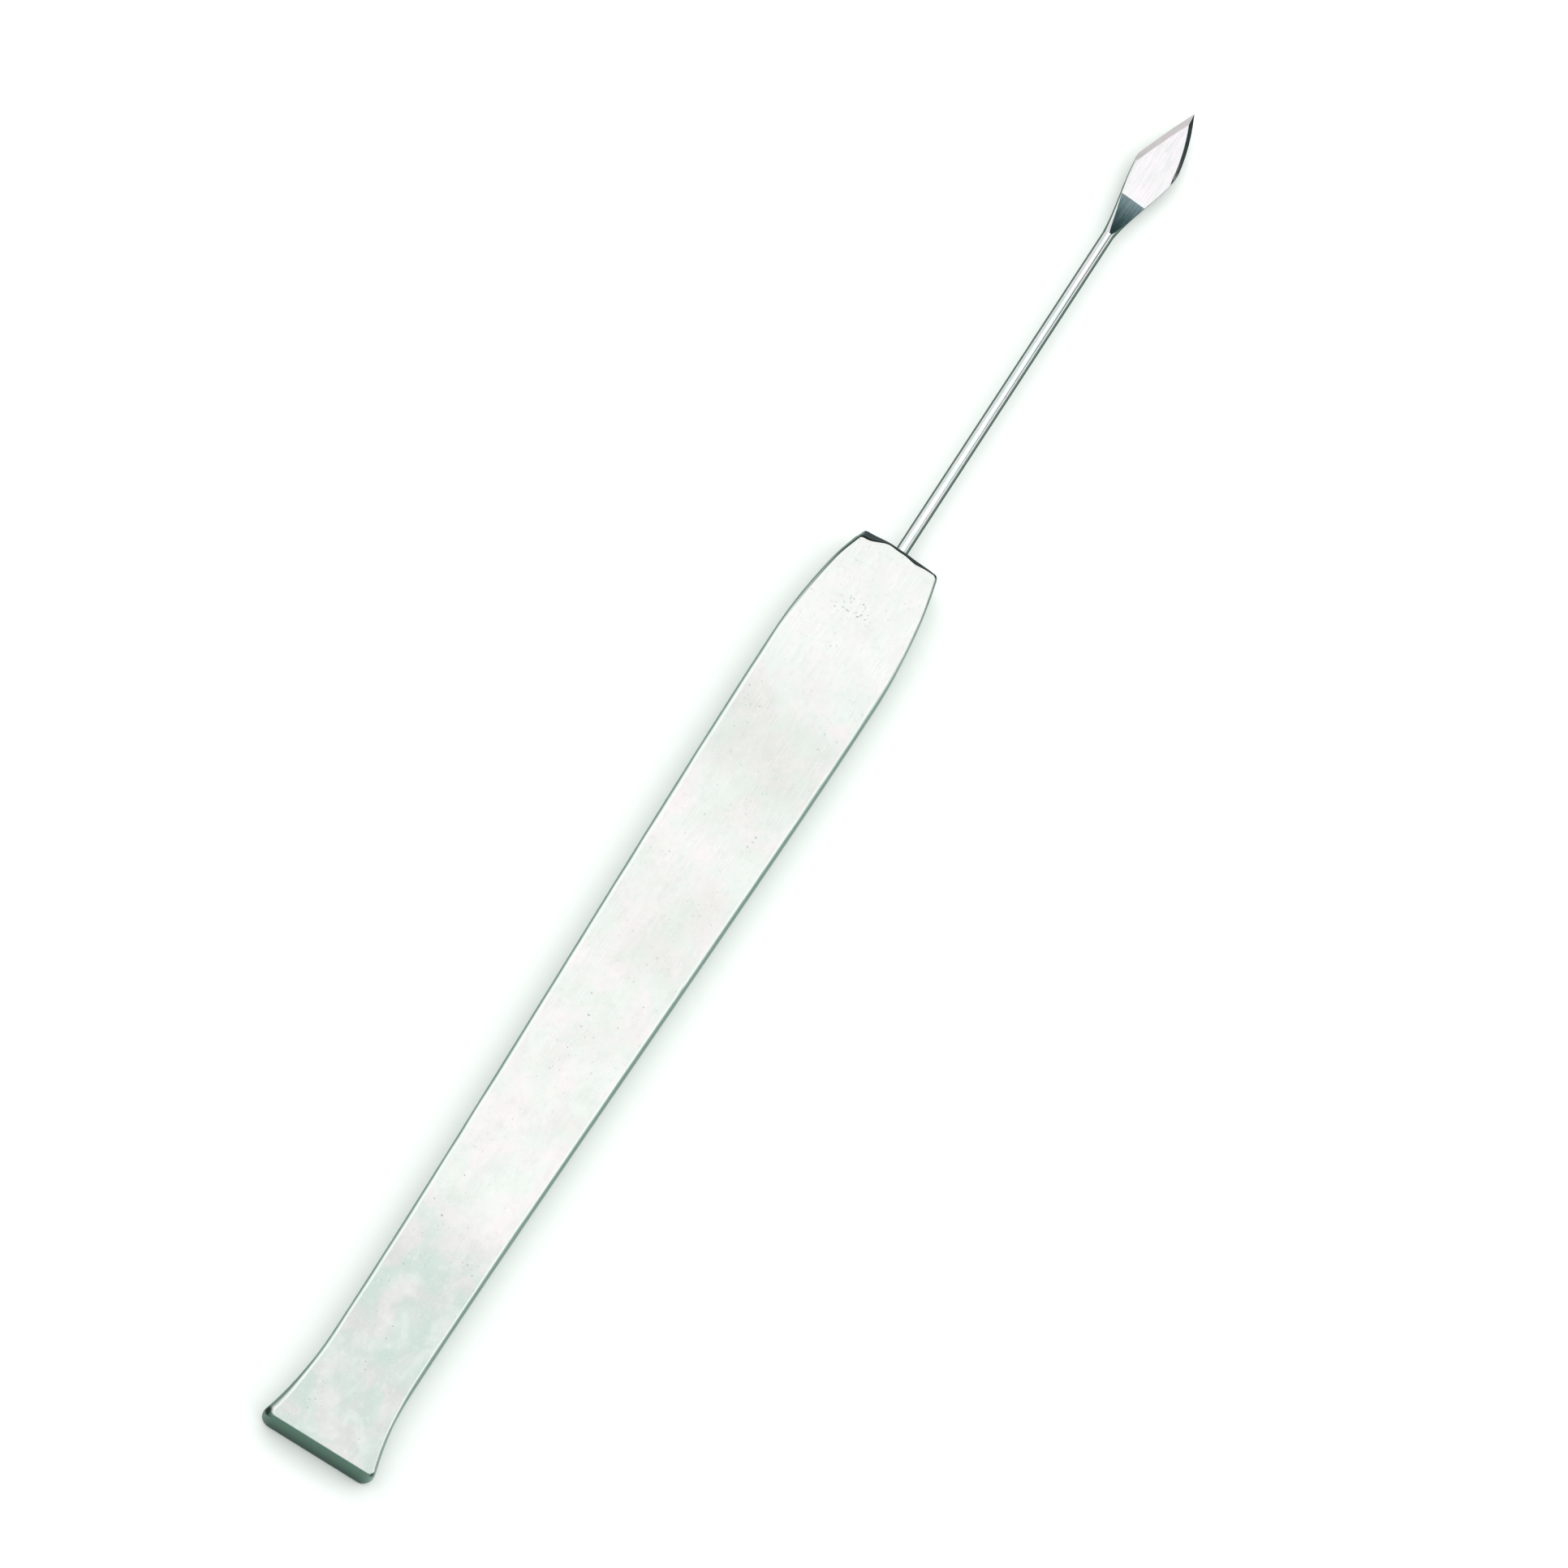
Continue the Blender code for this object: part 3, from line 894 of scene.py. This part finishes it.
    # Painted shade: dark lines along the worked edges and in the butt's top corners.
    colour = n.mix(painted_edge_shade, colour, rgb(0.045, 0.065, 0.055))
    n.feed(shader.inputs["Base Color"], colour)

    rough_face = n.remap(blotches, 0.30, 0.70, 0.34, 0.27)
    rough_face = n.math("ADD", rough_face, n.remap(brushing, 0.3, 0.7, -0.03, 0.05))
    rough_face = n.math("ADD", rough_face, n.math("MULTIPLY", flawed, 0.25))
    rough_side = n.math("ADD", 0.30, n.math("MULTIPLY", butt, 0.22))
    spread_mix = n.add("ShaderNodeMix", data_type="FLOAT")
    n.feed(spread_mix.inputs["Factor"], rim)
    n.feed(spread_mix.inputs["A"], rough_face)
    n.feed(spread_mix.inputs["B"], rough_side)
    n.feed(shader.inputs["Roughness"], spread_mix.outputs["Result"])

    normal = n.bump(brushing, 0.0008 * MM, 0.6)
    normal = n.bump(coarse, 0.0022 * MM, 0.5, normal)
    normal = n.bump(flawed, -0.015 * MM, 0.7, normal)
    n.feed(shader.inputs["Normal"], normal)
    return material


def polished_material():
    """The drawn and polished shank, with faint lines along it.

    Its two flanks are painted darker than the light leaves them, by the way they face.
    """
    material, n, shader = new_material("needle_polished")
    coordinates = n.add("ShaderNodeTexCoord")
    place = coordinates.outputs["Object"]
    facing = n.add("ShaderNodeSeparateXYZ")
    n.feed(facing.inputs[0], coordinates.outputs["Normal"])
    flank = n.remap(n.math("ABSOLUTE", facing.outputs["X"]), 0.66, 0.84, 0.0, 0.85)
    drawn = n.noise(n.scale(place, (14000.0, 300.0, 14000.0)), 3.0, 0.6)
    mottle = n.noise(n.scale(place, (900.0, 420.0, 900.0)), 3.0, 0.55)
    steel = n.mix(n.remap(mottle, 0.35, 0.65), rgb(0.80, 0.84, 0.82), rgb(0.90, 0.86, 0.87))
    steel = n.mix(n.remap(drawn, 0.5, 0.8, 0.0, 0.3), steel, rgb(0.60, 0.63, 0.62))
    n.feed(shader.inputs["Base Color"], n.mix(flank, steel, rgb(0.20, 0.29, 0.25)))
    n.feed(shader.inputs["Roughness"], n.remap(drawn, 0.3, 0.7, 0.09, 0.16))
    shader.inputs["Specular Tint"].default_value = rgb(0.20, 0.28, 0.24)
    n.feed(shader.inputs["Normal"], n.bump(drawn, 0.0004 * MM, 0.6))
    return material


def ground_material():
    """The blade's ground faces, with a fine grain along the needle.

    The ramp is bluer, and painted darker towards its root as shade.
    """
    material, n, shader = new_material("needle_ground")
    place = n.add("ShaderNodeTexCoord").outputs["Object"]
    split = n.add("ShaderNodeSeparateXYZ")
    n.feed(split.inputs[0], place)
    grain = n.noise(n.scale(place, (9000.0, 420.0, 3000.0)), 3.0, 0.6)
    broad = n.noise(n.scale(place, (2600.0, 420.0, 900.0)), 2.0, 0.5)
    mottle = n.noise(n.scale(place, (900.0, 700.0, 0.0)), 3.0, 0.55)
    steel = n.mix(n.remap(mottle, 0.36, 0.64), rgb(0.86, 0.815, 0.80), rgb(0.91, 0.83, 0.835))
    dull = n.remap(n.noise(n.scale(place, (2600.0, 2200.0, 0.0)), 3.0, 0.6), 0.56, 0.74, 0.0, 0.25)
    steel = n.mix(dull, steel, rgb(0.72, 0.70, 0.70))
    flat_start = FRONT_Y + ROOT_REACH + RAMP_LENGTH
    ragged = n.math("ADD", split.outputs["Y"], n.remap(mottle, 0.3, 0.7, -0.15 * MM, 0.15 * MM))
    on_ramp = n.remap(ragged, flat_start + 0.05 * MM, flat_start - 0.10 * MM)
    # Painted shade: the ramp darkens towards its root.
    depth = n.remap(split.outputs["Y"], flat_start, flat_start - 0.85 * RAMP_LENGTH)
    ramp = n.mix(depth, rgb(0.80, 0.92, 0.90), rgb(0.50, 0.70, 0.68))
    steel = n.mix(on_ramp, steel, ramp)
    steel = n.mix(n.remap(grain, 0.50, 0.75, 0.0, 0.10), steel, rgb(0.70, 0.70, 0.71))
    n.feed(shader.inputs["Base Color"], steel)
    n.feed(shader.inputs["Roughness"], n.remap(grain, 0.3, 0.7, 0.11, 0.17))
    normal = n.bump(grain, 0.0003 * MM, 0.5)
    normal = n.bump(broad, 0.0006 * MM, 0.4, normal)
    n.feed(shader.inputs["Normal"], normal)
    return material


def floor_material():
    """White paper that shows darker and greener in the metal than it does itself."""
    material, n, shader = new_material("bench_paper")
    shader.inputs["Metallic"].default_value = 0.0
    shader.inputs["Roughness"].default_value = 0.9
    shader.inputs["Specular IOR Level"].default_value = 0.1
    place = n.add("ShaderNodeTexCoord").outputs["Object"]
    fibre = n.noise(n.scale(place, (900.0, 900.0, 900.0)), 3.0)
    paper = n.mix(fibre, rgb(0.90, 0.91, 0.90), rgb(0.92, 0.93, 0.92))
    mirrored = n.add("ShaderNodeLightPath").outputs["Is Glossy Ray"]
    n.feed(shader.inputs["Base Color"], n.mix(mirrored, paper, rgb(0.34, 0.42, 0.39)))
    return material


# ------------------------------------------------------------- stage and camera

CAMERA_TARGET = Vector((2.006, -2.835, 1.5)) * MM
CAMERA_DISTANCE = 500.0 * MM
CAMERA_TILT = math.radians(28.0)
CAMERA_AZIMUTH = math.radians(6.0)
CAMERA_ROLL = math.radians(26.21)
CAMERA_LENS = 163.85
SENSOR = 36.0


def add_camera():
    """A long lens above the tool, tilted so that the butt's end face shows."""
    across = math.sin(CAMERA_TILT)
    back = Vector(
        (
            across * math.sin(CAMERA_AZIMUTH),
            -across * math.cos(CAMERA_AZIMUTH),
            math.cos(CAMERA_TILT),
        )
    )
    level = (-back).cross(Vector((0.0, 0.0, 1.0))).normalized()
    above = level.cross(-back)
    right = level * math.cos(CAMERA_ROLL) + above * math.sin(CAMERA_ROLL)
    up = above * math.cos(CAMERA_ROLL) - level * math.sin(CAMERA_ROLL)
    place = CAMERA_TARGET + back * CAMERA_DISTANCE
    camera = bpy.data.objects.new("camera", bpy.data.cameras.new("camera"))
    bpy.context.scene.collection.objects.link(camera)
    camera.matrix_world = Matrix(
        (
            (right.x, up.x, back.x, place.x),
            (right.y, up.y, back.y, place.y),
            (right.z, up.z, back.z, place.z),
            (0.0, 0.0, 0.0, 1.0),
        )
    )
    camera.data.lens = CAMERA_LENS
    camera.data.sensor_width = SENSOR
    camera.data.clip_start = 0.01
    camera.data.clip_end = 20.0
    bpy.context.scene.camera = camera


def add_floor():
    bm = bmesh.new()
    bmesh.ops.create_grid(bm, x_segments=8, y_segments=8, size=0.8)
    floor = link("floor", bm, floor_material())


def add_softbox(name, place, size_x, size_y, radiance):
    """A rectangular light whose face has this radiance. It shines down until it is turned."""
    light = bpy.data.lights.new(name, "AREA")
    light.shape = "RECTANGLE"
    light.size = size_x
    light.size_y = size_y
    light.energy = radiance * math.pi * size_x * size_y
    lamp = bpy.data.objects.new(name, light)
    lamp.location = place
    lamp.visible_camera = False
    bpy.context.scene.collection.objects.link(lamp)
    return lamp


def add_panel(name, x, y, z, radiance):
    """A light over the ranges given: one range is a single value, and it faces the tool."""
    ranges = [value if isinstance(value, tuple) else (value, value) for value in (x, y, z)]
    centre = Vector([sum(pair) / 2.0 for pair in ranges])
    spans = [high - low for low, high in ranges]
    if spans[2] == 0.0:
        return add_softbox(name, centre, spans[0], spans[1], radiance)
    wall = add_softbox(name, centre, spans[2], spans[1], radiance)
    wall.rotation_euler = (0.0, math.radians(90.0) * math.copysign(1.0, centre.x), 0.0)
    return wall


def add_lights():
    """A light tent, open in front of the point: the ground ramp and bevels mirror its dark gap."""
    height = 0.70
    add_panel("overhead_back", (-1.1, 1.1), (-0.50, 0.24), height, 0.90)
    add_panel("overhead_front", (-1.1, 1.1), (0.24, 0.58), height, 1.04)
    add_panel("overhead_left", (-1.1, -0.12), (0.58, 1.05), height, 0.72)
    add_panel("right_wall", 1.15, (-0.50, 1.00), (0.30, 0.95), 1.0)
    add_panel("left_wall", -1.15, (-0.30, 1.05), (0.20, 0.72), 1.0)


def add_world():
    """White to the camera, a soft fill for the floor, and a darker room in the metal.

    The ranges are parts of a direction: Z is the sine of its height above the horizon.
    """
    world = bpy.data.worlds.new("studio")
    bpy.context.scene.world = world
    world.use_nodes = True
    n = Nodes(world.node_tree)
    background = world.node_tree.nodes["Background"]
    path = n.add("ShaderNodeLightPath")
    split = n.add("ShaderNodeSeparateXYZ")
    n.feed(split.inputs[0], n.add("ShaderNodeTexCoord").outputs["Generated"])
    height = n.remap(split.outputs["Z"], 0.68, 0.79)
    room = n.mix(height, rgb(0.024, 0.042, 0.044), rgb(0.13, 0.19, 0.22))
    beside = n.remap(n.math("ABSOLUTE", split.outputs["X"]), 0.80, 0.92)
    room = n.mix(beside, room, rgb(0.12, 0.17, 0.15))
    horizon = n.remap(split.outputs["Z"], 0.14, 0.06)
    room = n.mix(horizon, room, rgb(0.34, 0.38, 0.37))
    behind = n.remap(split.outputs["Y"], 0.15, -0.20)
    room = n.mix(behind, room, rgb(0.42, 0.45, 0.44))
    fill = n.mix(path.outputs["Is Glossy Ray"], rgb(0.62, 0.66, 0.64), room)
    n.feed(background.inputs["Color"], n.mix(path.outputs["Is Camera Ray"], fill, rgb(1.0, 1.0, 1.0)))


# ------------------------------------------------------------------------ build


def main():
    add_camera()
    bpy.context.scene.view_settings.view_transform = "Standard"
    handle = build_handle(handle_material())
    needle = build_needle(polished_material(), ground_material())
    for piece, node, slot in (
        (handle, "handle", "handle_metal"),
        (needle, "needle", "needle_steel"),
    ):
        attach(piece, "root")
        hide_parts(node)
    add_floor()
    add_lights()
    add_world()


main()
